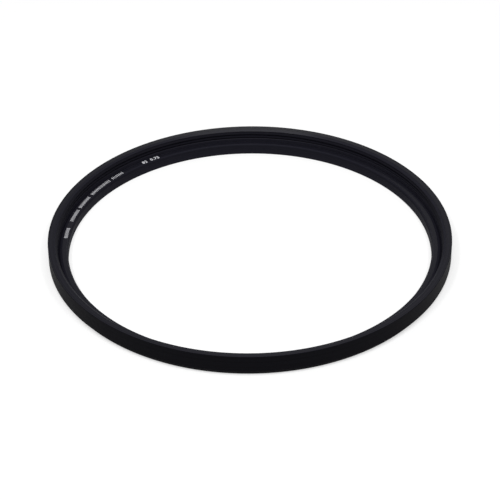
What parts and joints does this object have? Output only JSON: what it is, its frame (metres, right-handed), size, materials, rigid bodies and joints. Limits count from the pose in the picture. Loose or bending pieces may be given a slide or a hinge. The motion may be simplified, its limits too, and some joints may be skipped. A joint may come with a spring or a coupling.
{
  "type": "filter conversion ring",
  "caption": "Thin black anodised ring with a fine female filter thread in front and inset magnets behind, turning a screw-in lens filter into a magnetic one.",
  "frame": {"origin": "on the ring's axis, in the plane of the rear seat that meets the ring on the lens", "axes": "+Z along the ring's axis, from the rear seat towards the filter thread; X and Y across the ring, X half way between two magnets"},
  "size_m": [0.085, 0.085, 0.0049],
  "materials": {
    "black_anodised": "satin black anodised",
    "nickel_plate": "bright nickel plate"
  },
  "bodies": {
    "root": {"ring_frame": "black_anodised", "magnet_01": "nickel_plate", "magnet_02": "nickel_plate", "magnet_03": "nickel_plate", "magnet_04": "nickel_plate", "magnet_05": "nickel_plate", "magnet_06": "nickel_plate", "magnet_07": "nickel_plate", "magnet_08": "nickel_plate", "magnet_09": "nickel_plate", "magnet_10": "nickel_plate", "magnet_11": "nickel_plate", "magnet_12": "nickel_plate", "magnet_13": "nickel_plate", "magnet_14": "nickel_plate", "magnet_15": "nickel_plate", "magnet_16": "nickel_plate", "magnet_17": "nickel_plate", "magnet_18": "nickel_plate", "magnet_19": "nickel_plate", "magnet_20": "nickel_plate"}
  },
  "joints": []
}
